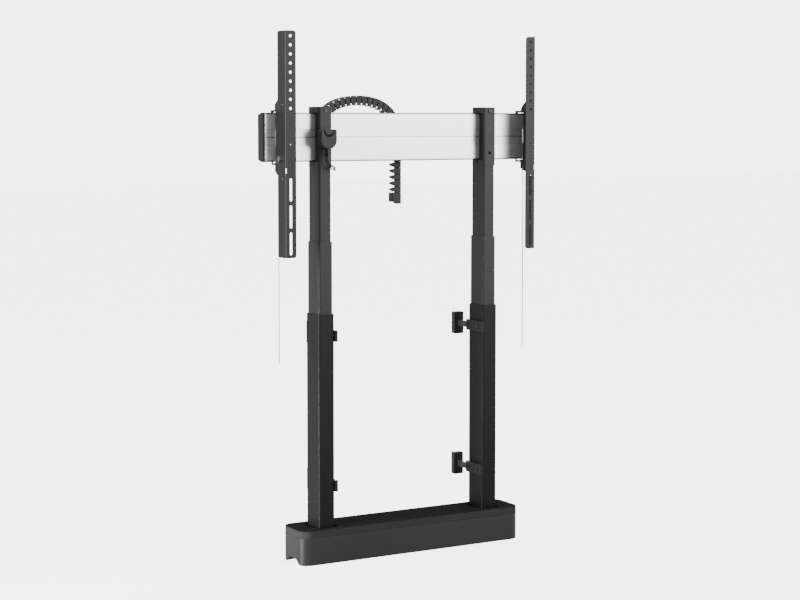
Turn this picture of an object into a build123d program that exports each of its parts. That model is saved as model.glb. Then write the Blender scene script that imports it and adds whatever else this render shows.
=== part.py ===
from build123d import *
from math import cos, radians, sin, tan
import os

os.makedirs("parts", exist_ok=True)

# All lengths are in millimetres. The origin is on the floor under the middle of the base,
# +X to the right seen from the front, -Y towards the viewer, the wall on the +Y side.

# General fits
face_gap = 0.3
snug_fit = 0.1
running_fit = 0.1
cut_margin = 5.0
SIDES = (("left", -1), ("right", 1))

# Base
base_length = 736.0
base_depth = 132.0
base_height = 100.0
base_corner_radius = 31.0
shell_wall = 3.0
lid_band = 22.0
lid_thickness = 3.0
lid_edge_radius = 2.5
lip_depth = 6.0
lip_wall = 2.0
seam_chamfer = 0.8
floor_gap = 1.0
foot_height = 3.0
foot_length = 40.0
foot_depth = 20.0
foot_inset = 63.0
foot_y = 51.0
plate_thickness = 10.0
notch_bottom_front = -46.0
notch_bottom_rear = 29.0
notch_top_front = -24.0
notch_top_rear = 18.0
notch_height = 16.0
notch_reach = 34.0
floor_hole_inset = 28.0
floor_hole_y = 36.0
floor_hole_radius = 3.5

# Columns
column_inset = 93.0
tube_wall = 1.5
tube_radius = 5.5
outer_length = 50.0
outer_depth = 78.0
outer_top = 710.0
middle_length = 43.6
middle_depth = 71.6
middle_bottom = 275.0
middle_top = 915.0
inner_length = 38.2
inner_depth = 66.2
inner_bottom = 466.0
inner_top = 1140.0
glide_height = 45.0
glide_span_share = 0.6

# Lid openings round the columns
opening_margin_x = 9.5
opening_margin_y = 6.5
opening_radius = 8.0

# Gear housings and drives
tube_seat = 55.0
housing_length = 72.0
housing_depth = 88.0
housing_flange_depth = 116.0
housing_flange_height = 6.0
socket_wall = 3.8
socket_height = 30.0
housing_bolt_x = 26.0
housing_bolt_y = 51.0
bolt_radius = 3.0
bolt_head_radius = 5.0
bolt_head_height = 6.0
bolt_length = 12.0
motor_radius = 20.0
motor_length = 104.0
motor_cap_radius = 14.0
motor_cap_length = 8.0
spindle_radius = 7.0
spindle_seat = 15.0
spindle_top = 728.0
nut_height = 15.0

# Control box
control_depth = 84.0
control_height = 40.0
control_radius = 4.0
inlet_reach = 12.0
inlet_width = 20.0
inlet_height = 16.0
inlet_radius = 6.4
inlet_y = 32.0
inlet_pin_radius = 1.2
inlet_pin_spacing = 8.0
motor_lead_radius = 2.5
motor_lead_length = 32.0

# Crossbar
bar_overhang = 81.0
bar_front = -4.0
bar_rear = 25.0
bar_bottom = 1142.0
bar_top = 1280.0
bar_wall = 3.0
bar_edge_radius = 1.5
band_half_height = 21.6
band_recess = 1.5
groove_width = 1.2
groove_depth = 1.0
edge_groove_inset = 4.5
cap_thickness = 8.0
cap_drop = 6.0
cap_plug_length = 12.0

# Heads that hold the crossbar
head_length = 41.2
head_front = -36.0
head_rear = 27.0
head_bottom = 1125.0
head_top = 1297.0
head_web = 2.5
head_edge_radius = 6.0
head_corner_radius = 3.0
cheek_return = 2.5
slit_front = -3.0
slit_rear = 0.0
slit_low_length = 13.0
slit_high_length = 8.0
head_screw_z = 1286.0
head_dot_z = 1213.0
head_access_z = 1162.0
head_dot_radius = 1.5
head_access_radius = 4.5
head_screw_radius = 2.5
head_screw_head_radius = 4.5
head_screw_head_height = 3.0
head_screw_length = 18.0
socket_radius = 2.0
socket_depth = 1.6
block_width = 32.0
block_plug_depth = 40.0
block_top = 1294.0

# Sensor pod on the left head
pod_width = 50.0
pod_top = 1233.0
pod_bottom = 1178.0
pod_front = -58.0
pod_corner_radius = 6.0
pod_edge_radius = 1.5
window_pocket_radius = 16.3
window_radius = 15.2
window_centre_z = 1228.0
window_pocket_depth = 2.5
window_thickness = 2.2
strap_width = 10.0
strap_radius = 1.6
strap_bottom = 1156.0
strap_thickness = 4.0
lead_y = -49.0
lead_diameter = 3.0
lead_bend_share = 0.45

# Mounting strips
strip_inset = 49.0
strip_width = 33.0
strip_front = -66.0
strip_sheet = 2.0
strip_length = 630.0
strip_middle_z = 1191.0
strip_bend_radius = 2.4
strip_corner_radius = 8.0
flange_rear = -17.5
hole_radius = 4.15
hole_first = 100.0
hole_pitch = 25.0
hole_count = 9
pin_hole_radius = 1.8
slot_length = 64.0
slot_width = 8.0
slot_first = 125.0
slot_pitch = 75.0
slot_count = 3
plate_low = 1106.0
plate_low_shoulder = 1116.0
plate_high_shoulder = 1303.0
plate_high = 1316.0
plate_rear = 0.4
plate_low_corner_y = -14.0
plate_high_corner_y = -19.0
plate_bar_clear = 1.5
plate_throat_y = -5.0
tab_low = 1190.0
tab_high = 1232.0
tab_pad = 2.0
side_hole_radius = 2.3
side_holes = ((-17.0, 1122.0), (-44.0, 1303.0), (-45.5, 1095.0))
corner_notch_low = 1112.0
corner_notch_high = 1125.0
corner_notch_reach = 4.0

# Hook over the crossbar
hook_thickness = 6.0
hook_front = -26.0
hook_neck_y = -6.0
hook_high = 1300.0
hook_arm_top = 1287.5
hook_arm_bottom = 1282.0
hook_lip = 4.0
hook_lip_low = 1270.0
hook_lip_gap = 0.4
hook_foot_length = 6.0
hook_screw_y = -3.0
hook_screw_radius = 2.0
hook_screw_top = 1294.0
knob_y = -30.7
knob_z = 1150.0
knob_side = 14.0
knob_height = 6.0
knob_bolt_radius = 3.0

# Latch under the crossbar
latch_front = -27.0
latch_rear = -1.0
latch_low = 1114.0
latch_housing_thickness = 7.0
latch_gap_top = 0.5
bolt_thickness = 4.0
bolt_front = -18.7
bolt_low = 1120.0
bolt_high = 1139.0
tongue_top = 1146.0
tongue_arm = 6.0
stem_low = 1108.0
stem_half_width = 3.0
cord_y = -10.7
cord_diameter = 2.5
cord_low = 574.0

# Cable chain behind the crossbar
chain_front = 30.0
chain_width = 24.0
chain_height = 28.2
chain_pitch = 18.0
chain_links = 28
link_length = 17.5
plate_length = 14.5
link_inner_length = 12.5
link_wall = 2.0
lug_root = 3.0
lug_reach = 11.5
lug_low = -8.0
lug_high = 11.0
lug_thickness = 1.5
finger_tip = 4.0
finger_inset = 1.0
chain_start_offset = 121.2
chain_start_z = 1189.5
chain_start_radius = 137.8
chain_start_angle = 150.0
chain_arch_radius = 231.9
chain_fall_radius = 120.1
chain_turn_radius = 74.0
chain_slope_run = 7.6
chain_leg_run = 190.0
chain_fall_angle = 45.0
chain_arch_start = 103.0
chain_arch_end = 74.4
chain_end_length = 27.0
chain_foot_length = 6.0
chain_foot_chamfer = 8.0
chain_bracket_width = 34.0
chain_bracket_height = 52.0
chain_bracket_offset = 13.0
chain_bracket_z = 1241.0

# Wall brackets on the inner faces of the columns
bracket_levels = (("upper", 647.0), ("lower", 217.0))
bracket_thickness = 9.0
bracket_height = 32.0
bracket_front = -45.0
bracket_rear = 42.0
bracket_chamfer = 3.0
arm_thickness = 4.0
arm_height = 18.0
arm_inner_end = -32.0
arm_outer_end = 90.0
arm_pocket_end = -39.0
wall_pad_width = 32.0
wall_pad_height = 67.0
wall_pad_thickness = 17.0
wall_pad_radius = 4.0
wall_pad_inset = 27.0
bracket_screw_y = -22.0
bracket_spare_y = 28.0
bracket_screw_radius = 3.0
bracket_screw_head_radius = 5.5
bracket_screw_head_height = 2.5

# Sizes that follow from the ones above
seam_height = base_height - lid_band
plate_top = foot_height + plate_thickness
notch_middle = (notch_bottom_front + notch_bottom_rear) / 2
foot_x = base_length / 2 - foot_inset
floor_hole_x = base_length / 2 - floor_hole_inset
column_x = base_length / 2 - column_inset
motor_end = column_x - housing_length / 2 - motor_length - motor_cap_length
control_length = 2 * (motor_end - motor_lead_length)
bar_length = base_length + 2 * bar_overhang
bar_middle = (bar_bottom + bar_top) / 2
strip_x = bar_length / 2 - strip_inset
strip_outer = strip_width / 2
strap_right = -column_x
strap_left = strap_right - strap_width
chain_start_x = chain_start_offset - column_x
chain_bracket_x = chain_bracket_offset - column_x
wall_pad_x = column_x - wall_pad_inset
outer_bore_length = outer_length - 2 * tube_wall
outer_bore_depth = outer_depth - 2 * tube_wall
middle_bore_length = middle_length - 2 * tube_wall
middle_bore_depth = middle_depth - 2 * tube_wall
inner_bore_length = inner_length - 2 * tube_wall
inner_bore_depth = inner_depth - 2 * tube_wall
bore_radius = tube_radius - tube_wall
outer_slack = (outer_bore_length - middle_length) / 2
inner_slack = (middle_bore_length - inner_length) / 2
outer_glide = outer_slack - face_gap
inner_glide = inner_slack - face_gap
motor_z = (plate_top + tube_seat) / 2


def tube_profile(x, length, depth):
    with Locations((x, 0)):
        RectangleRounded(length, depth, tube_radius)
        RectangleRounded(
            length - 2 * tube_wall, depth - 2 * tube_wall, bore_radius, mode=Mode.SUBTRACT
        )


def glide_pads(x, reach_x, reach_y, thickness):
    with Locations((x - reach_x, 0), (x + reach_x, 0)):
        Rectangle(thickness, glide_span_share * inner_depth)
    with Locations((x, -reach_y), (x, reach_y)):
        Rectangle(glide_span_share * inner_length, thickness)


# Skirt of the base, with the cable notch at the left end
with BuildPart() as base_cover:
    with BuildSketch(Plane.XY.offset(floor_gap)):
        RectangleRounded(base_length, base_depth, base_corner_radius)
        RectangleRounded(
            base_length - 2 * shell_wall,
            base_depth - 2 * shell_wall,
            base_corner_radius - shell_wall,
            mode=Mode.SUBTRACT,
        )
    extrude(amount=seam_height - floor_gap)
    chamfer(faces().sort_by(Axis.Z)[-1].outer_wire().edges(), seam_chamfer)
    with BuildSketch(Plane.YZ.offset(-base_length / 2)):
        with BuildLine():
            Polyline(
                (notch_bottom_front, 0),
                (notch_bottom_rear, 0),
                (notch_top_rear, notch_height),
                (notch_top_front, notch_height),
                close=True,
            )
        make_face()
    extrude(amount=notch_reach, mode=Mode.SUBTRACT)
base_cover.part.label = "base_cover"
export_step(base_cover.part, "parts/base_cover.step")

# Lid of the base, with a lip inside the skirt and an opening round each column
lid_wall = shell_wall + face_gap + lip_wall
with BuildPart() as base_lid:
    with BuildSketch(Plane.XY.offset(seam_height)):
        RectangleRounded(base_length, base_depth, base_corner_radius)
    extrude(amount=lid_band)
    fillet(faces().sort_by(Axis.Z)[-1].outer_wire().edges(), lid_edge_radius)
    chamfer(faces().sort_by(Axis.Z)[0].outer_wire().edges(), seam_chamfer)
    with BuildSketch(Plane.XY.offset(seam_height)):
        RectangleRounded(
            base_length - 2 * lid_wall, base_depth - 2 * lid_wall, base_corner_radius - lid_wall
        )
    extrude(amount=lid_band - lid_thickness, mode=Mode.SUBTRACT)
    with BuildSketch(Plane.XY.offset(seam_height - lip_depth)):
        RectangleRounded(
            base_length - 2 * (shell_wall + face_gap),
            base_depth - 2 * (shell_wall + face_gap),
            base_corner_radius - shell_wall - face_gap,
        )
        RectangleRounded(
            base_length - 2 * lid_wall,
            base_depth - 2 * lid_wall,
            base_corner_radius - lid_wall,
            mode=Mode.SUBTRACT,
        )
    extrude(amount=lip_depth)
    with BuildSketch(Plane.XY.offset(base_height)):
        with Locations((-column_x, 0), (column_x, 0)):
            RectangleRounded(
                outer_length + 2 * opening_margin_x,
                outer_depth + 2 * opening_margin_y,
                opening_radius,
            )
    extrude(amount=-lid_band, mode=Mode.SUBTRACT)
base_lid.part.label = "base_lid"
export_step(base_lid.part, "parts/base_lid.step")

# Steel plate inside the skirt
plate_inset = shell_wall + face_gap
with BuildPart() as base_plate:
    with BuildSketch(Plane.XY.offset(foot_height)):
        RectangleRounded(
            base_length - 2 * plate_inset,
            base_depth - 2 * plate_inset,
            base_corner_radius - plate_inset,
        )
        with Locations((-base_length / 2 + notch_reach / 2, notch_middle)):
            Rectangle(notch_reach, notch_bottom_rear - notch_bottom_front, mode=Mode.SUBTRACT)
        with Locations((floor_hole_x, -floor_hole_y), (floor_hole_x, floor_hole_y)):
            Circle(floor_hole_radius, mode=Mode.SUBTRACT)
        for _, side in SIDES:
            with Locations((side * column_x, 0)):
                with GridLocations(2 * housing_bolt_x, 2 * housing_bolt_y, 2, 2):
                    Circle(bolt_radius + snug_fit, mode=Mode.SUBTRACT)
    extrude(amount=plate_thickness)
base_plate.part.label = "base_plate"
export_step(base_plate.part, "parts/base_plate.step")

# Rubber feet under the plate
with BuildPart() as base_feet:
    with BuildSketch(Plane.XY):
        with GridLocations(2 * foot_x, 2 * foot_y, 2, 2):
            Rectangle(foot_length, foot_depth)
        Rectangle(foot_length, foot_depth)
    extrude(amount=foot_height)
base_feet.part.label = "base_feet"
export_step(base_feet.part, "parts/base_feet.step")

# Control box between the drives, and its mains inlet
with BuildPart() as control_box:
    with BuildSketch(Plane.XY.offset(plate_top)):
        RectangleRounded(control_length, control_depth, control_radius)
    extrude(amount=control_height)
    fillet(faces().sort_by(Axis.Z)[-1].edges(), control_radius / 2)
control_box.part.label = "control_box"
export_step(control_box.part, "parts/control_box.step")

with BuildPart() as power_inlet:
    with BuildSketch(Plane.YZ.offset(-control_length / 2)):
        with Locations((inlet_y, motor_z)):
            RectangleRounded(inlet_width, inlet_height, inlet_radius)
    extrude(amount=-inlet_reach)
    with BuildSketch(Plane.YZ.offset(-control_length / 2 - inlet_reach)):
        with Locations((inlet_y, motor_z)):
            RectangleRounded(
                inlet_width - 2 * tube_wall, inlet_height - 2 * tube_wall, inlet_radius - tube_wall
            )
            with GridLocations(inlet_pin_spacing, inlet_height, 2, 1):
                Circle(inlet_pin_radius, mode=Mode.SUBTRACT)
    extrude(amount=inlet_reach - tube_wall, mode=Mode.SUBTRACT)
power_inlet.part.label = "power_inlet"
export_step(power_inlet.part, "parts/power_inlet.step")

# Gear housing under each column: flange, casting and the socket for the outer tube
for name, side in SIDES:
    x = side * column_x
    with BuildPart() as gear_housing:
        with BuildSketch(Plane.XY.offset(plate_top)):
            with Locations((x, 0)):
                Rectangle(housing_length, housing_flange_depth)
                with GridLocations(2 * housing_bolt_x, 2 * housing_bolt_y, 2, 2):
                    Circle(bolt_radius + snug_fit, mode=Mode.SUBTRACT)
        extrude(amount=housing_flange_height)
        with BuildSketch(Plane.XY.offset(plate_top)):
            with Locations((x, 0)):
                Rectangle(housing_length, housing_depth)
        extrude(amount=tube_seat - plate_top)
        with BuildSketch(Plane.XY.offset(tube_seat)):
            with Locations((x, 0)):
                RectangleRounded(
                    outer_length + 2 * (snug_fit + socket_wall),
                    outer_depth + 2 * (snug_fit + socket_wall),
                    tube_radius + socket_wall,
                )
                RectangleRounded(
                    outer_length + 2 * snug_fit,
                    outer_depth + 2 * snug_fit,
                    tube_radius,
                    mode=Mode.SUBTRACT,
                )
        extrude(amount=socket_height)
        with BuildSketch(Plane.XY.offset(tube_seat)):
            with Locations((x, 0)):
                Circle(spindle_radius + running_fit)
        extrude(amount=-spindle_seat, mode=Mode.SUBTRACT)
    gear_housing.part.label = f"gear_housing_{name}"
    export_step(gear_housing.part, f"parts/gear_housing_{name}.step")

# Motor on the inner face of each gear housing
for name, side in SIDES:
    motor_face = side * (column_x - housing_length / 2)
    with BuildPart() as motor:
        with BuildSketch(Plane.YZ.offset(motor_face)):
            with Locations((0, motor_z)):
                Circle(motor_radius)
        extrude(amount=-side * motor_length)
        with BuildSketch(Plane.YZ.offset(motor_face - side * motor_length)):
            with Locations((0, motor_z)):
                Circle(motor_cap_radius)
        extrude(amount=-side * motor_cap_length)
    motor.part.label = f"motor_{name}"
    export_step(motor.part, f"parts/motor_{name}.step")

# Leads from the motors to the control box
with BuildPart() as motor_leads:
    for _, side in SIDES:
        with BuildSketch(Plane.YZ.offset(side * control_length / 2)):
            with Locations((0, motor_z)):
                Circle(motor_lead_radius)
        extrude(amount=side * motor_lead_length)
motor_leads.part.label = "motor_leads"
export_step(motor_leads.part, "parts/motor_leads.step")

# Bolts that hold the gear housings to the plate
bolt_seat = plate_top + housing_flange_height
with BuildPart() as housing_bolts:
    for _, side in SIDES:
        for plane, radius, height in (
            (Plane.XY.offset(bolt_seat), bolt_head_radius, bolt_head_height),
            (Plane.XY.offset(bolt_seat), bolt_radius, -bolt_length),
        ):
            with BuildSketch(plane):
                with Locations((side * column_x, 0)):
                    with GridLocations(2 * housing_bolt_x, 2 * housing_bolt_y, 2, 2):
                        Circle(radius)
            extrude(amount=height)
housing_bolts.part.label = "housing_bolts"
export_step(housing_bolts.part, "parts/housing_bolts.step")

# Threaded spindle in each column
for name, side in SIDES:
    with BuildPart() as spindle:
        with BuildSketch(Plane.XY.offset(tube_seat - spindle_seat + face_gap)):
            with Locations((side * column_x, 0)):
                Circle(spindle_radius)
        extrude(amount=spindle_top - tube_seat + spindle_seat - face_gap)
    spindle.part.label = f"spindle_{name}"
    export_step(spindle.part, f"parts/spindle_{name}.step")

# Outer, middle and inner tube of each column
for name, side in SIDES:
    for stage, length, depth, low, high in (
        ("outer", outer_length, outer_depth, tube_seat, outer_top),
        ("middle", middle_length, middle_depth, middle_bottom, middle_top),
        ("inner", inner_length, inner_depth, inner_bottom, inner_top),
    ):
        with BuildPart() as tube:
            with BuildSketch(Plane.XY.offset(low)):
                tube_profile(side * column_x, length, depth)
            extrude(amount=high - low)
        tube.part.label = f"{stage}_tube_{name}"
        export_step(tube.part, f"parts/{stage}_tube_{name}.step")

# Glide pads inside the top of the outer tubes
with BuildPart() as outer_glides:
    with BuildSketch(Plane.XY.offset(outer_top - glide_height)):
        for _, side in SIDES:
            glide_pads(
                side * column_x,
                (outer_bore_length - outer_glide) / 2,
                (outer_bore_depth - outer_glide) / 2,
                outer_glide,
            )
    extrude(amount=glide_height)
outer_glides.part.label = "outer_glides"
export_step(outer_glides.part, "parts/outer_glides.step")

# Glide pads of the middle tubes: outside the foot and inside the top
for name, side in SIDES:
    x = side * column_x
    with BuildPart() as middle_glides:
        with BuildSketch(Plane.XY.offset(middle_bottom)):
            glide_pads(
                x, (middle_length + outer_glide) / 2, (middle_depth + outer_glide) / 2, outer_glide
            )
        extrude(amount=glide_height)
        with BuildSketch(Plane.XY.offset(middle_top - glide_height)):
            glide_pads(
                x,
                (middle_bore_length - inner_glide) / 2,
                (middle_bore_depth - inner_glide) / 2,
                inner_glide,
            )
        extrude(amount=glide_height)
    middle_glides.part.label = f"middle_glides_{name}"
    export_step(middle_glides.part, f"parts/middle_glides_{name}.step")

# Glide pads outside the foot of the inner tubes
with BuildPart() as inner_glides:
    with BuildSketch(Plane.XY.offset(inner_bottom)):
        for _, side in SIDES:
            glide_pads(
                side * column_x,
                (inner_length + inner_glide) / 2,
                (inner_depth + inner_glide) / 2,
                inner_glide,
            )
    extrude(amount=glide_height)
inner_glides.part.label = "inner_glides"
export_step(inner_glides.part, "parts/inner_glides.step")

# Spindle nuts in the feet of the inner tubes
with BuildPart() as lift_nuts:
    with BuildSketch(Plane.XY.offset(inner_bottom)):
        with Locations((-column_x, 0), (column_x, 0)):
            RectangleRounded(
                inner_bore_length - 2 * snug_fit, inner_bore_depth - 2 * snug_fit, bore_radius
            )
            Circle(spindle_radius + running_fit, mode=Mode.SUBTRACT)
    extrude(amount=nut_height)
lift_nuts.part.label = "lift_nuts"
export_step(lift_nuts.part, "parts/lift_nuts.step")

# Head bracket on each column: a channel open to the rear with a throat for the crossbar
head_height = head_top - head_bottom
throat_front = head_front + head_web + cheek_return
for name, side in SIDES:
    x = side * column_x
    with BuildPart() as head_bracket:
        with BuildSketch(Plane.YZ.offset(x)):
            with Locations(((head_front + head_rear) / 2, (head_bottom + head_top) / 2)):
                Rectangle(head_rear - head_front, head_height)
            fillet(vertices().group_by(Axis.X)[-1], head_corner_radius)
        extrude(amount=head_length / 2, both=True)
        fillet(edges().filter_by(Axis.Z).group_by(Axis.Y)[0], head_edge_radius)
        with BuildSketch(Plane.YZ.offset(x)):
            with Locations(((throat_front + head_rear) / 2, bar_middle)):
                Rectangle(head_rear - throat_front, bar_top - bar_bottom)
        extrude(amount=head_length, both=True, mode=Mode.SUBTRACT)
        bore_depth = head_rear - head_front - head_web + cut_margin
        with BuildSketch(Plane.XY.offset(head_bottom)):
            with Locations((x, head_front + head_web + bore_depth / 2)):
                RectangleRounded(inner_length + 2 * snug_fit, bore_depth, bore_radius)
        extrude(amount=head_height, mode=Mode.SUBTRACT)
        with BuildSketch(Plane.YZ.offset(x)):
            slit_y = (slit_front + slit_rear) / 2
            with Locations((slit_y, bar_bottom - slit_low_length / 2)):
                Rectangle(slit_rear - slit_front, slit_low_length)
            with Locations((slit_y, bar_top + slit_high_length / 2)):
                Rectangle(slit_rear - slit_front, slit_high_length)
        extrude(amount=head_length, both=True, mode=Mode.SUBTRACT)
        with BuildSketch(Plane.XZ.offset(-head_front)):
            for height, radius in (
                (head_screw_z, head_screw_radius + snug_fit),
                (head_dot_z, head_dot_radius),
                (head_access_z, head_access_radius),
            ):
                with Locations((x, height)):
                    Circle(radius)
        extrude(amount=-head_web, mode=Mode.SUBTRACT)
    head_bracket.part.label = f"head_bracket_{name}"
    export_step(head_bracket.part, f"parts/head_bracket_{name}.step")

# Clamp block in each head: a plug in the inner tube, an upright and a jaw over the crossbar
block_front = head_front + head_web + face_gap
plug_length = inner_bore_length - 2 * face_gap
plug_depth = inner_bore_depth - 2 * face_gap
with BuildPart() as clamp_blocks:
    for _, side in SIDES:
        x = side * column_x
        with BuildSketch(Plane.XY.offset(inner_top - block_plug_depth)):
            with Locations((x, 0)):
                RectangleRounded(plug_length, plug_depth, bore_radius)
        extrude(amount=bar_bottom - inner_top + block_plug_depth)
        with BuildSketch(Plane.XY.offset(inner_top - block_plug_depth)):
            with Locations((x, 0)):
                Circle(spindle_radius + running_fit)
        extrude(amount=block_plug_depth, mode=Mode.SUBTRACT)
        with BuildSketch(Plane.YZ.offset(x)):
            with Locations(((block_front + bar_front) / 2, (inner_top + block_top) / 2)):
                Rectangle(bar_front - block_front, block_top - inner_top)
            with Locations(((block_front + bar_rear) / 2, (bar_top + block_top) / 2)):
                Rectangle(bar_rear - block_front, block_top - bar_top)
        extrude(amount=block_width / 2, both=True)
        with BuildSketch(Plane.XZ.offset(-block_front)):
            with Locations((x, head_screw_z), (x, head_access_z)):
                Circle(head_screw_radius + snug_fit)
        extrude(amount=block_front - bar_front, mode=Mode.SUBTRACT)
clamp_blocks.part.label = "clamp_blocks"
export_step(clamp_blocks.part, "parts/clamp_blocks.step")

# Screws in the faces of the heads
with BuildPart() as head_screws:
    with BuildSketch(Plane.XZ.offset(-head_front)):
        with Locations((-column_x, head_screw_z), (column_x, head_screw_z)):
            Circle(head_screw_head_radius)
    extrude(amount=head_screw_head_height)
    with BuildSketch(Plane.XZ.offset(-head_front)):
        with Locations((-column_x, head_screw_z), (column_x, head_screw_z)):
            Circle(head_screw_radius)
    extrude(amount=-head_screw_length)
    with BuildSketch(Plane.XZ.offset(head_screw_head_height - head_front)):
        with Locations((-column_x, head_screw_z), (column_x, head_screw_z)):
            RegularPolygon(socket_radius, 6)
    extrude(amount=-socket_depth, mode=Mode.SUBTRACT)
head_screws.part.label = "head_screws"
export_step(head_screws.part, "parts/head_screws.step")

# Crossbar extrusion
bar_depth = bar_rear - bar_front
bar_height = bar_top - bar_bottom
band_face = bar_front + band_recess
low_chamber_bottom = bar_bottom + bar_wall
low_chamber_top = bar_middle - band_half_height - bar_wall / 2
high_chamber_bottom = bar_middle + band_half_height + bar_wall / 2
high_chamber_top = bar_top - bar_wall
middle_chamber_bottom = low_chamber_top + bar_wall
middle_chamber_top = high_chamber_bottom - bar_wall
CHAMBERS = (
    (bar_front + bar_wall, low_chamber_bottom, low_chamber_top),
    (band_face + bar_wall, middle_chamber_bottom, middle_chamber_top),
    (bar_front + bar_wall, high_chamber_bottom, high_chamber_top),
)
with BuildPart() as crossbar:
    with BuildSketch(Plane.YZ):
        with Locations(((bar_front + bar_rear) / 2, bar_middle)):
            Rectangle(bar_depth, bar_height)
        fillet(vertices(), bar_edge_radius)
        with Locations((bar_front + band_recess / 2, bar_middle)):
            Rectangle(band_recess, 2 * band_half_height, mode=Mode.SUBTRACT)
        with Locations((band_face + groove_depth / 2, bar_middle)):
            Rectangle(groove_depth, groove_width, mode=Mode.SUBTRACT)
        with Locations(
            (bar_front + groove_depth / 2, bar_bottom + edge_groove_inset),
            (bar_front + groove_depth / 2, bar_top - edge_groove_inset),
        ):
            Rectangle(groove_depth, groove_width, mode=Mode.SUBTRACT)
        for front, low, high in CHAMBERS:
            rear = bar_rear - bar_wall
            with Locations(((front + rear) / 2, (low + high) / 2)):
                Rectangle(rear - front, high - low, mode=Mode.SUBTRACT)
    extrude(amount=bar_length / 2, both=True)
crossbar.part.label = "crossbar"
export_step(crossbar.part, "parts/crossbar.step")

# End caps of the crossbar, with plugs in its outer chambers
with BuildPart() as crossbar_caps:
    for _, side in SIDES:
        with BuildSketch(Plane.YZ.offset(side * bar_length / 2)):
            with BuildLine():
                Polyline(
                    (bar_front, bar_bottom),
                    (bar_front, bar_top),
                    (bar_front + cap_drop, bar_top),
                    (bar_rear, bar_top - cap_drop),
                    (bar_rear, bar_bottom + cap_drop),
                    (bar_front + cap_drop, bar_bottom),
                    close=True,
                )
            make_face()
            fillet(vertices(), bar_edge_radius)
        extrude(amount=side * cap_thickness)
        with BuildSketch(Plane.YZ.offset(side * bar_length / 2)):
            for front, low, high in CHAMBERS:
                rear = bar_rear - bar_wall
                with Locations(((front + rear) / 2, (low + high) / 2)):
                    Rectangle(rear - front - 2 * face_gap, high - low - 2 * face_gap)
        extrude(amount=-side * cap_plug_length)
crossbar_caps.part.label = "crossbar_caps"
export_step(crossbar_caps.part, "parts/crossbar_caps.step")

# Sensor pod on the left head, with the pocket for its window
pod_radius = pod_width / 2
pod_round_z = pod_bottom + pod_radius
with BuildPart() as sensor_pod:
    with BuildSketch(Plane.XZ.offset(-head_front)):
        with Locations((-column_x, pod_round_z)):
            Circle(pod_radius)
        with Locations((-column_x, (pod_round_z + pod_top) / 2)):
            Rectangle(pod_width, pod_top - pod_round_z)
        fillet(vertices().group_by(Axis.Y)[-1], pod_corner_radius)
    extrude(amount=head_front - pod_front)
    fillet(faces().sort_by(Axis.Y)[0].edges(), pod_edge_radius)
    with BuildSketch(Plane.XZ.offset(-pod_front)):
        with Locations((-column_x, window_centre_z)):
            Circle(window_pocket_radius)
    extrude(amount=-window_pocket_depth, mode=Mode.SUBTRACT)
sensor_pod.part.label = "sensor_pod"
export_step(sensor_pod.part, "parts/sensor_pod.step")

window_gap = window_pocket_radius - window_radius
with BuildPart() as sensor_window:
    with BuildSketch(Plane.XZ.offset(window_pocket_depth - window_thickness - pod_front)):
        with Locations((-column_x, window_centre_z)):
            Circle(window_radius)
        window_bottom = window_centre_z - window_radius
        window_top = pod_top - window_gap
        with Locations((-column_x, (window_bottom + window_top) / 2)):
            Rectangle(2 * window_radius, window_top - window_bottom, mode=Mode.INTERSECT)
    extrude(amount=-window_pocket_depth)
sensor_window.part.label = "sensor_window"
export_step(sensor_window.part, "parts/sensor_window.step")

# Flat boot under the pod and the two leads that run from it round to the side of the head
LEAD_ROUTES = (
    (
        (-7.4, lead_y, strap_bottom),
        (-6.4, lead_y, 1142.0),
        (0.5, lead_y, 1129.5),
        (12.5, lead_y, 1121.5),
        (25.0, -45.5, 1117.5),
        (32.0, -36.0, 1117.0),
        (33.5, -24.0, 1121.0),
        (31.5, -14.0, 1128.0),
        (28.5, -8.5, 1132.0),
        (head_length / 2, -8.5, 1132.0),
    ),
    (
        (-2.6, lead_y, strap_bottom),
        (-1.6, lead_y, 1145.0),
        (4.5, lead_y, 1134.0),
        (14.5, lead_y, 1126.5),
        (24.0, -46.0, 1123.5),
        (30.0, -38.5, 1124.0),
        (31.5, -29.0, 1128.0),
        (28.5, -21.5, 1132.0),
        (head_length / 2, -21.5, 1132.0),
    ),
)


def corner_radii(route):
    runs = [end - start for start, end in zip(route, route[1:])]
    radii = []
    for before, after in zip(runs, runs[1:]):
        turn = before.get_angle(after)
        shorter = min(before.length, after.length)
        radii.append(lead_bend_share * shorter / tan(radians(turn) / 2))
    return radii


with BuildPart() as sensor_leads:
    with BuildSketch(Plane.XY.offset(strap_bottom)):
        with Locations(((strap_left + strap_right) / 2, lead_y)):
            RectangleRounded(strap_right - strap_left, strap_thickness, strap_radius)
    extrude(amount=pod_bottom - strap_bottom - face_gap)
    for offsets in LEAD_ROUTES:
        route = [Vector(-column_x, 0, 0) + Vector(*offset) for offset in offsets]
        with BuildLine() as lead_path:
            FilletPolyline(*route, radius=corner_radii(route))
        lead_wire = lead_path.wire()
        with BuildSketch(Plane(origin=lead_wire @ 0, z_dir=lead_wire % 0)) as lead_section:
            Circle(lead_diameter / 2)
        sweep(path=lead_wire, sections=lead_section.sketch)
sensor_leads.part.label = "sensor_leads"
export_step(sensor_leads.part, "parts/sensor_leads.step")

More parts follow.
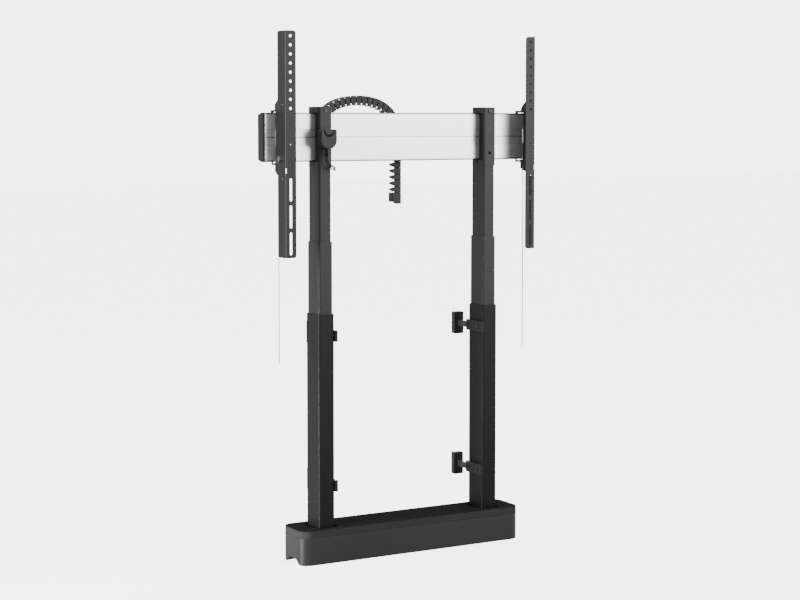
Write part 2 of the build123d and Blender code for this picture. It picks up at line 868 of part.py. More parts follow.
# Mounting strips: a holed face, a side flange and the hook plate that is part of the flange
hook_plate = (
    (flange_rear, plate_low),
    (plate_low_corner_y, plate_low),
    (plate_rear, plate_low_shoulder),
    (plate_rear, bar_bottom - plate_bar_clear),
    (plate_throat_y, bar_bottom - plate_bar_clear),
    (plate_throat_y, tab_low),
    (bar_front - face_gap - tab_pad, tab_low),
    (bar_front - face_gap - tab_pad, tab_high),
    (plate_throat_y, tab_high),
    (plate_throat_y, bar_top + plate_bar_clear),
    (plate_rear, bar_top + plate_bar_clear),
    (plate_rear, plate_high_shoulder),
    (plate_high_corner_y, plate_high),
    (flange_rear - cut_margin, plate_high),
    (flange_rear - cut_margin, plate_low),
)
for name, side in SIDES:
    face_x = side * strip_x
    flange_x = side * (strip_x + strip_outer)
    with BuildPart() as strip:
        with BuildSketch(Plane.XZ.offset(-strip_front)):
            with Locations((face_x, strip_middle_z)):
                Rectangle(strip_width, strip_length)
            inner_corners = vertices().group_by(Axis.X)[0 if side > 0 else -1]
            fillet(inner_corners, strip_corner_radius)
        extrude(amount=-strip_sheet)
        with BuildSketch(Plane.YZ.offset(flange_x)):
            with Locations(((strip_front + flange_rear) / 2, strip_middle_z)):
                Rectangle(flange_rear - strip_front, strip_length)
            fillet(vertices().group_by(Axis.X)[-1], strip_corner_radius)
            with BuildLine():
                Polyline(*hook_plate, close=True)
            make_face()
            with Locations(*side_holes):
                Circle(side_hole_radius, mode=Mode.SUBTRACT)
            with Locations((knob_y, knob_z)):
                Circle(knob_bolt_radius + snug_fit, mode=Mode.SUBTRACT)
        extrude(amount=-side * strip_sheet)
        bend = edges().filter_by(Axis.Z).sort_by(lambda e: side * e.center().X - e.center().Y)[-1]
        fillet(bend, strip_bend_radius)
        with BuildSketch(Plane.XZ.offset(-strip_front)):
            for step in range(hole_count):
                with Locations((face_x, strip_middle_z + hole_first + step * hole_pitch)):
                    Circle(hole_radius)
            with Locations((face_x, strip_middle_z)):
                Circle(pin_hole_radius)
            for step in range(slot_count):
                with Locations((face_x, strip_middle_z - slot_first - step * slot_pitch)):
                    SlotOverall(slot_length, slot_width, rotation=90)
        extrude(amount=-strip_sheet, mode=Mode.SUBTRACT)
        with BuildSketch(Plane.YZ.offset(flange_x)):
            notch_z = (corner_notch_low + corner_notch_high) / 2
            with Locations((strip_front, notch_z)):
                Rectangle(2 * corner_notch_reach, corner_notch_high - corner_notch_low)
        extrude(amount=-side * corner_notch_reach, mode=Mode.SUBTRACT)
    strip.part.label = f"strip_{name}"
    export_step(strip.part, f"parts/strip_{name}.step")

# Pad on the tab of each hook plate
for name, side in SIDES:
    flange_x = side * (strip_x + strip_outer)
    with BuildPart() as tab_pad_piece:
        with BuildSketch(Plane.YZ.offset(flange_x)):
            with Locations((bar_front - face_gap - tab_pad / 2, (tab_low + tab_high) / 2)):
                Rectangle(tab_pad, tab_high - tab_low)
        extrude(amount=-side * strip_sheet)
    tab_pad_piece.part.label = f"tab_pad_{name}"
    export_step(tab_pad_piece.part, f"parts/tab_pad_{name}.step")

# Hook over the crossbar on the inner side of each flange
hook_x = strip_x + strip_outer - strip_sheet
hook_rear = bar_rear + hook_lip_gap
for name, side in SIDES:
    with BuildPart() as top_hook:
        with BuildSketch(Plane.YZ.offset(side * hook_x)):
            with BuildLine():
                Polyline(
                    (hook_front, hook_arm_bottom),
                    (hook_front, hook_high),
                    (hook_neck_y, hook_high),
                    (plate_rear, hook_arm_top),
                    (hook_rear + hook_lip, hook_arm_top),
                    (hook_rear + hook_lip, hook_lip_low),
                    (hook_rear, hook_lip_low),
                    (hook_rear, bar_top + face_gap),
                    (hook_rear - hook_foot_length, bar_top + face_gap),
                    (hook_rear - hook_foot_length, hook_arm_bottom),
                    close=True,
                )
            make_face()
        extrude(amount=-side * hook_thickness)
        with BuildSketch(Plane.XY.offset(hook_arm_bottom)):
            with Locations((side * (hook_x - hook_thickness / 2), hook_screw_y)):
                Circle(hook_screw_radius + snug_fit)
        extrude(amount=hook_high - hook_arm_bottom, mode=Mode.SUBTRACT)
    top_hook.part.label = f"top_hook_{name}"
    export_step(top_hook.part, f"parts/top_hook_{name}.step")

# Knob on each flange and the set screw in its hook
for name, side in SIDES:
    flange_x = side * (strip_x + strip_outer)
    with BuildPart() as strip_screws:
        with BuildSketch(Plane.YZ.offset(flange_x)):
            with Locations((knob_y, knob_z)):
                Rectangle(knob_side, knob_side, rotation=45)
        extrude(amount=side * knob_height)
        chamfer(faces().sort_by(Axis.X)[-1 if side > 0 else 0].edges(), seam_chamfer)
        with BuildSketch(Plane.YZ.offset(flange_x)):
            with Locations((knob_y, knob_z)):
                Circle(knob_bolt_radius)
        extrude(amount=-side * 2 * strip_sheet)
        with BuildSketch(Plane.XY.offset(bar_top + face_gap)):
            with Locations((side * (hook_x - hook_thickness / 2), hook_screw_y)):
                Circle(hook_screw_radius)
        extrude(amount=hook_screw_top - bar_top - face_gap)
    strip_screws.part.label = f"strip_screws_{name}"
    export_step(strip_screws.part, f"parts/strip_screws_{name}.step")

# Latch housing on each flange, open at the rear, with the slot for the bolt
latch_high = bar_bottom - latch_gap_top
bolt_x = hook_x - latch_housing_thickness / 2
for name, side in SIDES:
    with BuildPart() as latch_housing:
        with BuildSketch(Plane.YZ.offset(side * hook_x)):
            with Locations(((latch_front + latch_rear) / 2, (latch_low + latch_high) / 2)):
                Rectangle(latch_rear - latch_front, latch_high - latch_low)
            fillet(vertices().group_by(Axis.X)[0], seam_chamfer)
        extrude(amount=-side * latch_housing_thickness)
        slot_front = bolt_front - face_gap
        with BuildSketch(Plane.XY.offset(latch_low)):
            with Locations((side * bolt_x, (slot_front + latch_rear) / 2)):
                Rectangle(bolt_thickness + 2 * face_gap, latch_rear - slot_front)
        extrude(amount=latch_high - latch_low, mode=Mode.SUBTRACT)
    latch_housing.part.label = f"latch_housing_{name}"
    export_step(latch_housing.part, f"parts/latch_housing_{name}.step")

# Latch bolt: its arm runs under the crossbar and its tongue rises behind it; the stem takes the cord
for name, side in SIDES:
    with BuildPart() as latch_bolt:
        with BuildSketch(Plane.YZ.offset(side * (bolt_x + bolt_thickness / 2))):
            with BuildLine():
                Polyline(
                    (bolt_front, bolt_high),
                    (hook_rear, bolt_high),
                    (hook_rear, tongue_top),
                    (hook_rear + hook_lip, tongue_top),
                    (hook_rear + hook_lip, bolt_high - tongue_arm),
                    (latch_rear, bolt_high - tongue_arm),
                    (latch_rear, bolt_low),
                    (cord_y + stem_half_width, bolt_low),
                    (cord_y + stem_half_width, stem_low),
                    (cord_y - stem_half_width, stem_low),
                    (cord_y - stem_half_width, bolt_low),
                    (bolt_front, bolt_low),
                    close=True,
                )
            make_face()
        extrude(amount=-side * bolt_thickness)
    latch_bolt.part.label = f"latch_bolt_{name}"
    export_step(latch_bolt.part, f"parts/latch_bolt_{name}.step")

# Pull cord under each latch bolt, hanging straight
for name, side in SIDES:
    with BuildPart() as pull_cord:
        with BuildSketch(Plane.XY.offset(stem_low)):
            with Locations((side * bolt_x, cord_y)):
                Circle(cord_diameter / 2)
        extrude(amount=cord_low - stem_low)
    pull_cord.part.label = f"pull_cord_{name}"
    export_step(pull_cord.part, f"parts/pull_cord_{name}.step")

# Cable chain: the middle line as arcs and straights, walked from its left end; each link has a lug
# behind the plate of the next one
half_height = chain_height / 2
CHAIN_COURSE = (
    (chain_start_radius - half_height, chain_start_angle - chain_arch_start, 0),
    (chain_arch_radius - half_height, chain_arch_start - chain_arch_end, 0),
    (chain_fall_radius - half_height, chain_arch_end - chain_fall_angle, 0),
    (0, 0, chain_slope_run),
    (chain_turn_radius - half_height, chain_fall_angle, 0),
    (0, 0, chain_leg_run),
)


def chain_point(distance):
    angle = chain_start_angle
    radius = chain_start_radius - half_height
    x = chain_start_x + radius * cos(radians(angle))
    z = chain_start_z + radius * sin(radians(angle))
    for radius, sweep_angle, run in CHAIN_COURSE:
        length = radius * radians(sweep_angle) + run
        part = min(distance, length)
        if radius:
            turned = angle - sweep_angle * part / length
            x += radius * (cos(radians(turned)) - cos(radians(angle)))
            z += radius * (sin(radians(turned)) - sin(radians(angle)))
            angle = turned
        else:
            x += part * sin(radians(angle))
            z -= part * cos(radians(angle))
        distance -= part
        if distance <= 0:
            break
    return Vector(x, chain_front, z)


with BuildPart() as cable_chain:
    for link in range(chain_links):
        start = chain_point(link * chain_pitch)
        end = chain_point((link + 1) * chain_pitch)
        middle = (start + end) / 2
        along = (end - start).normalized()
        out = Vector(0, -1, 0).cross(along)
        plate_plane = Plane(origin=middle, x_dir=along, z_dir=(0, 1, 0))
        out_sign = 1 if plate_plane.y_dir.dot(out) > 0 else -1
        with BuildSketch(plate_plane):
            with BuildLine():
                Polyline(
                    (-plate_length / 2, 0),
                    (-plate_length / 2, out_sign * half_height),
                    (plate_length / 2, out_sign * half_height),
                    (plate_length / 2, 0),
                    (link_inner_length / 2, -out_sign * half_height),
                    (-link_inner_length / 2, -out_sign * half_height),
                    close=True,
                )
            make_face()
        extrude(amount=link_wall)
        with BuildSketch(plate_plane):
            with Locations((0, out_sign * (half_height - link_wall / 2))):
                Rectangle(link_length, link_wall)
        extrude(amount=chain_width)
        lug_middle = out_sign * (lug_low + lug_high) / 2
        with BuildSketch(plate_plane.offset(link_wall)):
            with Locations((lug_root + lug_root / 2, lug_middle)):
                Rectangle(lug_root, lug_high - lug_low)
        extrude(amount=snug_fit + lug_thickness)
        with BuildSketch(plate_plane.offset(link_wall + snug_fit)):
            with Locations(((lug_root + lug_reach) / 2, lug_middle)):
                Rectangle(lug_reach - lug_root, lug_high - lug_low)
        extrude(amount=lug_thickness)
        with BuildSketch(Plane(origin=middle - out * half_height, x_dir=along, z_dir=out)):
            with BuildLine():
                Polyline(
                    (-link_inner_length / 2, 0),
                    (link_inner_length / 2, 0),
                    (finger_tip / 2, chain_width - finger_inset),
                    (-finger_tip / 2, chain_width - finger_inset),
                    close=True,
                )
            make_face()
        extrude(amount=link_wall)
cable_chain.part.label = "cable_chain"
export_step(cable_chain.part, "parts/cable_chain.step")

# End piece of the chain: closed on its inner side, with a chamfered foot plate
leg_end = chain_point(chain_links * chain_pitch)
end_top = leg_end.Z - (chain_pitch - link_length) / 2
end_inner = leg_end.X - half_height
end_outer = leg_end.X + half_height
end_low = end_top - chain_end_length
with BuildPart() as chain_end:
    with BuildSketch(Plane.XZ.offset(-chain_front)):
        with BuildLine():
            Polyline(
                (end_inner, end_top),
                (end_outer, end_top),
                (end_outer, end_low - chain_foot_length),
                (end_inner + chain_foot_chamfer, end_low - chain_foot_length),
                (end_inner, end_low - chain_foot_length + chain_foot_chamfer),
                close=True,
            )
        make_face()
    extrude(amount=-link_wall)
    with BuildSketch(Plane.XZ.offset(-chain_front)):
        for wall_x in (end_inner + link_wall / 2, end_outer - link_wall / 2):
            with Locations((wall_x, (end_low + end_top) / 2)):
                Rectangle(link_wall, chain_end_length)
    extrude(amount=-chain_width)
chain_end.part.label = "chain_end"
export_step(chain_end.part, "parts/chain_end.step")

# Bracket between the rear of the crossbar and the first link
with BuildPart() as chain_bracket:
    with BuildSketch(Plane.XZ.offset(-bar_rear)):
        with Locations((chain_bracket_x, chain_bracket_z)):
            RectangleRounded(chain_bracket_width, chain_bracket_height, head_corner_radius)
    extrude(amount=bar_rear - chain_front + snug_fit)
chain_bracket.part.label = "chain_bracket"
export_step(chain_bracket.part, "parts/chain_bracket.step")

# Wall brackets: the sleeve on the column and the arm with its wall pad
bracket_face = column_x - outer_length / 2
sleeve_x = bracket_face - bracket_thickness / 2
for name, side in SIDES:
    for level, height in bracket_levels:
        with BuildPart() as sleeve:
            with BuildSketch(Plane.XY.offset(height - bracket_height / 2)):
                with Locations((side * sleeve_x, (bracket_front + bracket_rear) / 2)):
                    Rectangle(bracket_thickness, bracket_rear - bracket_front)
                outer_corners = vertices().group_by(Axis.X)[0 if side > 0 else -1]
                chamfer(outer_corners, bracket_chamfer)
            extrude(amount=bracket_height)
            with BuildSketch(Plane.XZ.offset(-bracket_rear)):
                with Locations((side * sleeve_x, height)):
                    Rectangle(arm_thickness + 2 * face_gap, arm_height + 2 * face_gap)
            extrude(amount=bracket_rear - arm_pocket_end, mode=Mode.SUBTRACT)
            with BuildSketch(Plane.YZ.offset(side * (bracket_face - bracket_thickness))):
                with Locations((bracket_screw_y, height), (bracket_spare_y, height)):
                    Circle(bracket_screw_radius + snug_fit)
            extrude(amount=side * bracket_thickness / 2, mode=Mode.SUBTRACT)
        sleeve.part.label = f"wall_sleeve_{name}_{level}"
        export_step(sleeve.part, f"parts/wall_sleeve_{name}_{level}.step")

        with BuildPart() as wall_arm:
            with BuildSketch(Plane.XY.offset(height - arm_height / 2)):
                with Locations((side * sleeve_x, (arm_inner_end + arm_outer_end) / 2)):
                    Rectangle(arm_thickness, arm_outer_end - arm_inner_end)
            extrude(amount=arm_height)
            with BuildSketch(Plane.XZ.offset(-arm_outer_end)):
                with Locations((side * wall_pad_x, height)):
                    RectangleRounded(wall_pad_width, wall_pad_height, wall_pad_radius)
            extrude(amount=-wall_pad_thickness)
        wall_arm.part.label = f"wall_arm_{name}_{level}"
        export_step(wall_arm.part, f"parts/wall_arm_{name}_{level}.step")

# Clamp screws of the wall brackets
screw_reach = bracket_thickness / 2 - arm_thickness / 2 - snug_fit
with BuildPart() as bracket_screws:
    for _, side in SIDES:
        screw_plane = Plane.YZ.offset(side * (bracket_face - bracket_thickness))
        for _, height in bracket_levels:
            with BuildSketch(screw_plane):
                with Locations((bracket_screw_y, height)):
                    Circle(bracket_screw_head_radius)
            extrude(amount=-side * bracket_screw_head_height)
            with BuildSketch(screw_plane):
                with Locations((bracket_screw_y, height)):
                    Circle(bracket_screw_radius)
            extrude(amount=side * screw_reach)
bracket_screws.part.label = "bracket_screws"
export_step(bracket_screws.part, "parts/bracket_screws.step")
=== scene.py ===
from math import cos, pi, radians, sin

import bpy
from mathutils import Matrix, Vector


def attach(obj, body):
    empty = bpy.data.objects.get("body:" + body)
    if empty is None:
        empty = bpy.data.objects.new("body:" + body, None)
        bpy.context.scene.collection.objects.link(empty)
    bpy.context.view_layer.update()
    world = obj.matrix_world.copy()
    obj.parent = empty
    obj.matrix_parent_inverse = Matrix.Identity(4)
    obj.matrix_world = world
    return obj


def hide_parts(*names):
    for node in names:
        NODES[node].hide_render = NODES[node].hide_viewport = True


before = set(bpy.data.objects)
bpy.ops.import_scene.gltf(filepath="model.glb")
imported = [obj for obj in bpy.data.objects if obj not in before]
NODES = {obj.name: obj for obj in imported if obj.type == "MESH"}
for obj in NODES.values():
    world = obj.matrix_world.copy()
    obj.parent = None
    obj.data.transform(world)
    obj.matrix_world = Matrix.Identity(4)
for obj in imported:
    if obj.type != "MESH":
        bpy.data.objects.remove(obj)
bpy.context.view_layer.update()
scene = bpy.context.scene

SIDES = (("left", -1), ("right", 1))
LEVELS = ("upper", "lower")
WHITE = (1, 1, 1, 1)

# Camera: place and reach in metres, turn and tilt in degrees, lens and sensor in millimetres
CAMERA_PLACE = (-2.7596, -4.7048, 1.2581)
CAMERA_YAW = 30.2879
CAMERA_PITCH = -4.0148
CAMERA_LENS = 84.366
CAMERA_SENSOR = 36
CAMERA_SHIFT = -0.06
CAMERA_REACH = 60

# Surround as light and as the camera sees it, the floor's glow and half the floor's width
SURROUND_LIGHT = 0.90
SURROUND_SEEN = 5.0
FLOOR_GLOW = 4.4
FLOOR_REACH = 30

# Soft lights: name, place, width and height, watts, spread in degrees and where each looks
LIGHTS = (
    ("top", (0.0, -0.8, 4.4), (4.5, 4.5), 170, 150, (0, 0, 0.6)),
    ("left", (-3.0, 0.0, 1.1), (0.6, 2.2), 62, 150, (0, 0, 0.9)),
    ("left_low", (-1.9, -0.10, 0.30), (0.4, 0.5), 11, 60, (-0.36, 0, 0.02)),
    ("front", (2.2, -3.4, 2.0), (2.4, 2.4), 120, 150, (0, 0, 1.2)),
    ("back", (2.4, 2.8, 1.8), (2.4, 2.4), 110, 150, (0, 0, 0.8)),
)

# Places and sizes of the object are in metres, in the frame of the CAD part
COLUMN_X = 0.275
THREAD_PITCH = 0.004

# Pull cords, with the same sizes as in the CAD part
CORD_X = 0.411
CORD_Y = -0.0107
CORD_TOP = 1.108
CORD_LOW = 0.574
CORD_DIAMETER = 0.0025
CORD_STEPS = 6
BRAID_PITCH = 0.0045
BRAID_STRANDS = 4.0

# Sensor pod: its front, its round pocket of painted shade and the part of its disc left lit as
# painted light
POD_FRONT = -0.0500
POCKET_X = -COLUMN_X
POCKET_Z = 1.228
POCKET_RADIUS = 0.0163
DISC_Z = 1.2310
DISC_RADIUS = 0.0128

# Clamp screws on the inner faces of the sleeves, turned at random by up to the spread, in radians
SCREW_X = 0.241
SCREW_Y = -0.022
SCREW_LEVELS = (0.647, 0.217)
SCREW_SPREAD = 0.5
SCREW_SEED = 7

# Clamp screw about its own axis: radius, height and number of corners of each ring
SCREW_RINGS = (
    (0.0056, 0.0, 0), (0.0056, 0.0012, 0), (0.0050, 0.0022, 0), (0.0040, 0.0026, 0),
    (0.0026, 0.0026, 6), (0.0024, 0.0012, 6), (0.0006, 0.0011, 6),
)
RING_STEPS = 48

# Crossbar: height of its middle, distances from there, and the height of its lips; painted shade
# darkens its grooves and lips
BAR_MIDDLE = 1.211
BAR_HALF = 0.069
BAR_BAND = 0.0216
BAR_EDGE_GROOVE = 0.0645
BAR_LIP = 0.0032

# Fold between the front and the flange of each mounting strip, and the tone of the highlight painted
# along it
FOLD_X = 0.4158
FOLD_Y = -0.0644
FOLD_WIDTH = 0.0010
HIGHLIGHT_TONE = 0.075

# Base lid: its top lies over this height, and painted shade makes it darker by this share
LID_TOP = 0.0985
LID_TOP_SHADE = 0.62

# Motors: distances from the middle to the end cap and to both ends of the laminated stretch
MOTOR_CAP = 0.1355
LAMINATED_FROM = 0.150
LAMINATED_TO = 0.225
LAMINATIONS_PER_METRE = 900

# Drive box: height of its joint line, half the size of its vent field and the two rows of slots
BOX_SEAM_Z = 0.036
VENT_FIELD_X = 0.062
VENT_FIELD_Y = 0.027
VENT_ROW_Y = 0.0135
VENT_ROW_HALF = 0.0115
VENTS_PER_METRE = 125

# Power inlet: the middle between its two pins, half their spacing and their radius
PIN_Y = 0.032
PIN_Z = 0.034
PIN_SPACING_HALF = 0.004
PIN_RADIUS = 0.0012

# Wall arms, along Y: where the pad's block starts, its joint line and its rubber face
PAD_START = 0.0898
PAD_JOINT = 0.1038
PAD_FACE = 0.1040

# Cable chain, along Y: both ends of the stretch behind its front plates that is painted in shade
CHAIN_SHADE_FRONT = 0.0312
CHAIN_SHADE_BACK = 0.0345


# Camera and cords
camera = bpy.data.objects.new("camera", bpy.data.cameras.new("camera"))
scene.collection.objects.link(camera)
camera.location = CAMERA_PLACE
camera.rotation_euler = (radians(90 + CAMERA_PITCH), 0, -radians(CAMERA_YAW))
camera.data.lens = CAMERA_LENS
camera.data.sensor_width = CAMERA_SENSOR
camera.data.shift_y = CAMERA_SHIFT
camera.data.clip_end = CAMERA_REACH
scene.camera = camera


def pull_cord(side_name, side):
    """A free cord that hangs straight from the stem of its latch."""
    curve = bpy.data.curves.new(f"cord_{side_name}", "CURVE")
    curve.dimensions = "3D"
    spline = curve.splines.new("NURBS")
    spline.points.add(CORD_STEPS)
    for step, point in enumerate(spline.points):
        height = CORD_TOP + (CORD_LOW - CORD_TOP) * step / CORD_STEPS
        point.co = (side * CORD_X, CORD_Y, height, 1)
        point.radius = CORD_DIAMETER / 2
    spline.order_u = 3
    spline.use_endpoint_u = True
    # The points' radius multiplies the bevel depth, so a depth of 1 leaves it as it is
    curve.bevel_depth = 1.0
    curve.bevel_resolution = 4
    curve.use_fill_caps = True
    cord = bpy.data.objects.new(f"cord_{side_name}", curve)
    scene.collection.objects.link(cord)
    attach(cord, f"latch_{side_name}")
    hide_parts(f"pull_cord_{side_name}")
    return cord


cords = [pull_cord(side_name, side) for side_name, side in SIDES]


# Nodes and shader sums
def feed(tree, socket, value):
    """Links a socket to the one that gives its value, or sets it to a plain value."""
    if isinstance(value, Term):
        value = value.socket
    if isinstance(value, bpy.types.NodeSocket):
        tree.links.new(value, socket)
    else:
        socket.default_value = value


def add_node(tree, kind, settings=None, sockets=None):
    """A node with its settings, which come first, and the values or links of its sockets."""
    node = tree.nodes.new(kind)
    for key, value in (settings or {}).items():
        setattr(node, key, value)
    for key, value in (sockets or {}).items():
        feed(tree, node.inputs[key], value)
    return node


class Term:
    """A socket that takes part in Python sums; each sum makes one Math node."""

    def __init__(self, look, socket):
        self.look = look
        self.socket = socket

    def sum(self, operation, *terms, clamp=False):
        settings = {"operation": operation, "use_clamp": clamp}
        node = self.look.node("ShaderNodeMath", settings, dict(enumerate(terms)))
        return Term(self.look, node.outputs[0])

    def __add__(self, other):
        return self.sum("ADD", self, other)

    def __radd__(self, other):
        return self.sum("ADD", other, self)

    def __sub__(self, other):
        return self.sum("SUBTRACT", self, other)

    def __rsub__(self, other):
        return self.sum("SUBTRACT", other, self)

    def __mul__(self, other):
        return self.sum("MULTIPLY", self, other)

    def __rmul__(self, other):
        return self.sum("MULTIPLY", other, self)

    def __truediv__(self, other):
        return self.sum("DIVIDE", self, other)

    def __abs__(self):
        return self.sum("ABSOLUTE", self)

    def power(self, other):
        return self.sum("POWER", self, other)

    def fract(self):
        return self.sum("FRACT", self)

    def angle_from(self, across):
        """Angle in radians of a point that lies this far up and that far across."""
        return self.sum("ARCTAN2", self, across)

    def held(self):
        """Held between 0 and 1."""
        return self.sum("ADD", self, 0.0, clamp=True)

    def below(self, limit, blur):
        """1 under the limit and 0 over it, blurred over that width."""
        return ((limit - self) / blur + 0.5).held()

    def above(self, limit, blur):
        return 1.0 - self.below(limit, blur)


class Look:
    """A material with one surface shader, fed from object coordinates."""

    def __init__(self, name, specular=0.5):
        self.material = bpy.data.materials.new(name)
        self.material.use_nodes = True
        self.tree = self.material.node_tree
        self.shader = self.tree.nodes["Principled BSDF"]
        self.feed("Specular IOR Level", specular)
        self.place = self.node("ShaderNodeTexCoord").outputs["Object"]
        axes = self.node("ShaderNodeSeparateXYZ", {}, {0: self.place}).outputs
        self.x, self.y, self.z = (Term(self, axis) for axis in axes)
        self.bump = None

    def node(self, kind, settings=None, sockets=None):
        return add_node(self.tree, kind, settings, sockets)

    def feed(self, socket_name, value):
        feed(self.tree, self.shader.inputs[socket_name], value)

    def stretched(self, x, y, z):
        """Object coordinates multiplied along each axis."""
        sockets = {0: self.place, 1: (x, y, z)}
        return self.node("ShaderNodeVectorMath", {"operation": "MULTIPLY"}, sockets).outputs[0]

    def noise(self, scale, detail=2.0, place=None, rough=0.5):
        sockets = {
            "Vector": place or self.place, "Scale": scale, "Detail": detail, "Roughness": rough,
        }
        return Term(self, self.node("ShaderNodeTexNoise", {}, sockets).outputs[0])

    def cells(self, scale):
        sockets = {"Vector": self.place, "Scale": scale}
        return Term(self, self.node("ShaderNodeTexVoronoi", {}, sockets).outputs[0])

    def mix(self, share, low, high):
        """One colour between two."""
        sockets = {0: share, 6: low, 7: high}
        return self.node("ShaderNodeMix", {"data_type": "RGBA"}, sockets).outputs[2]

    def colour(self, value):
        self.feed("Base Color", value)

    def rough(self, value):
        self.feed("Roughness", value)

    def metal(self, value):
        self.feed("Metallic", value)

    def raised(self, height, depth, strength=1.0):
        """Adds relief to the surface: height from 0 to 1, and its depth in metres."""
        sockets = {"Height": height, "Distance": depth, "Strength": strength}
        if self.bump is not None:
            sockets["Normal"] = self.bump
        self.bump = self.node("ShaderNodeBump", {}, sockets).outputs[0]
        self.feed("Normal", self.bump)


def grey(tone, warmth=0.0):
    return (tone * (1 + warmth), tone, tone * (1 - warmth), 1)


# Finishes that several parts share
def coat_relief(look, grain):
    """Orange peel of a powder coat, with its finest grain on it."""
    look.raised(look.cells(950), 0.00010, 0.55)
    look.raised(grain, 0.00005, 0.6)


def painted_floor_shade(look, share, foot, full):
    """Painted shade: that share of a tone at the foot, growing to the whole at the full height."""
    rise = ((look.z - foot) / (full - foot)).held()
    return share + (1 - share) * rise


def powder_coat(
    name, tone, floor_shade=None, gloss=0.46, lines=True, sheen=0.20, painted_top_shade=False, painted_highlight=None,
):
    """Fine-grained powder coat on metal, with or without faint lines drawn along its height.

    fade is painted shade: the tone's share at the foot, and the heights of the foot and of the full
    tone.
    painted_top_shade paints shade on the lid's top. rubbed gives how strongly a highlight is painted
    at each point.
    """
    look = Look(name, sheen)
    grain = look.noise(1500, 3)
    cloud = look.noise(7, 3)
    shade = 0.90 + 0.20 * cloud
    # Painted shade: the coat grows darker towards the floor
    if floor_shade:
        shade = painted_floor_shade(look, *floor_shade) * shade
    shade = shade * (0.88 + 0.24 * grain)
    # Painted shade on the top of the base lid
    if painted_top_shade:
        shade = shade * (1 - LID_TOP_SHADE * look.z.above(LID_TOP, 0.0008))
    body = look.mix(shade * 0.5, grey(0.0), grey(2 * tone, -0.012))
    # Painted highlight along the fold of a strip
    if painted_highlight:
        body = look.mix(painted_highlight(look), body, grey(HIGHLIGHT_TONE))
    look.colour(body)
    if lines:
        drawn = look.noise(1, 4, look.stretched(420, 420, 3.0))
        look.rough(gloss + 0.10 * (drawn - 0.5) + 0.10 * (grain - 0.5))
        look.raised(drawn, 0.00006, 0.5)
    else:
        look.rough(gloss + 0.14 * (cloud - 0.5) + 0.10 * (grain - 0.5))
    coat_relief(look, grain)
    return look


def spark_grain(look, gloss):
    """Roughness and relief of moulded plastic; gives back its faint flow marks."""
    grain = look.cells(1300)
    flow = look.noise(26, 4, rough=0.6)
    look.rough(gloss + 0.16 * (flow - 0.5) + 0.10 * grain)
    look.raised(grain, 0.00012, 0.5)
    return flow


def moulded_plastic(name, tone, gloss):
    """Black moulded plastic with a spark-eroded grain."""
    look = Look(name, 0.25)
    flow = spark_grain(look, gloss)
    look.colour(look.mix(0.30 + 0.40 * flow, grey(0.6 * tone), grey(1.5 * tone, -0.01)))
    return look


def rubber(name, tone, ribbed=False):
    """Dull rubber with a bloom on it, and with ribs across X where it is ribbed."""
    look = Look(name, 0.25)
    grain = look.noise(1100, 4, rough=0.7)
    bloom = look.noise(30, 3)
    look.colour(look.mix(bloom, grey(0.8 * tone), grey(1.5 * tone)))
    look.rough(0.74 + 0.20 * (grain - 0.5))
    look.raised(grain, 0.00018, 0.7)
    if ribbed:
        wave = abs((look.x * 160).fract() - 0.5)
        look.raised(wave.above(0.22, 0.2), 0.0004, 0.7)
    return look


def bright_metal(name, tone, gloss=0.30, warmth=0.0):
    """Plated or turned metal with fine scratches."""
    look = Look(name)
    turned = look.noise(1, 3, look.stretched(700, 700, 2600))
    spots = look.noise(240, 3)
    look.colour(look.mix(0.3 + 0.5 * spots, grey(0.82 * tone, warmth), grey(1.1 * tone, warmth)))
    look.metal(0.90 + 0.10 * turned)
    look.rough(gloss + 0.22 * (turned - 0.5) + 0.10 * (spots - 0.5))
    look.raised(turned, 0.00005, 0.5)
    return look


def lead_sheath(name, tone):
    """Drawn plastic sheath of a thin lead."""
    look = Look(name, 0.08)
    drawn = look.noise(420, 3)
    wrap = look.noise(44, 3)
    look.colour(look.mix(wrap, grey(0.6 * tone), grey(1.6 * tone)))
    look.rough(0.60 + 0.2 * (drawn - 0.5))
    look.raised(drawn, 0.00002, 0.5)
    return look


# Finishes of single parts
def brushed_bar():
    """Anodised extrusion, brushed along its length, with painted shade in its grooves and on its
    lips.
    """
    look = Look("brushed_bar")
    lines = look.noise(1, 4, look.stretched(6, 1700, 1700), 0.65)
    long = look.noise(1, 3, look.stretched(2.5, 260, 260))
    middle = abs(look.z - BAR_MIDDLE)
    groove = middle.below(0.0012, 0.0006)
    band = abs(middle - BAR_BAND).below(0.0006, 0.0006)
    edge_groove = abs(middle - BAR_EDGE_GROOVE).below(0.0008, 0.0006)
    lip = middle.above(BAR_HALF - BAR_LIP, 0.0008)
    # Painted shade in the grooves and on the lips
    shade = (0.60 * groove + 0.36 * band + 0.34 * edge_groove + 0.97 * lip).held()
    metal = look.mix(0.25 + 0.3 * lines + 0.3 * long, grey(0.54, -0.004), grey(0.62, -0.004))
    look.colour(look.mix(shade, metal, grey(0.05)))
    look.metal(0.76 + 0.10 * long)
    look.rough(0.31 + 0.10 * (lines - 0.5) + 0.06 * (long - 0.5))
    look.raised(lines, 0.00002, 0.10)
    return look


def spindle_thread(side_name, side):
    """Turned steel with the thread as a helix about the column's axis."""
    look = Look(f"spindle_thread_{side_name}")
    angle = look.y.angle_from(look.x - side * COLUMN_X)
    phase = (look.z / THREAD_PITCH + angle / (2 * pi)).fract()
    wave = abs(phase - 0.5) * 2
    oil = look.noise(60, 3)
    look.colour(look.mix(0.25 + 0.5 * wave, grey(0.16, 0.03), grey(0.48, 0.01)))
    look.metal(0.86 + 0.14 * wave)
    look.rough(0.24 + 0.20 * oil)
    look.raised(wave, 0.0008, 0.9)
    return look


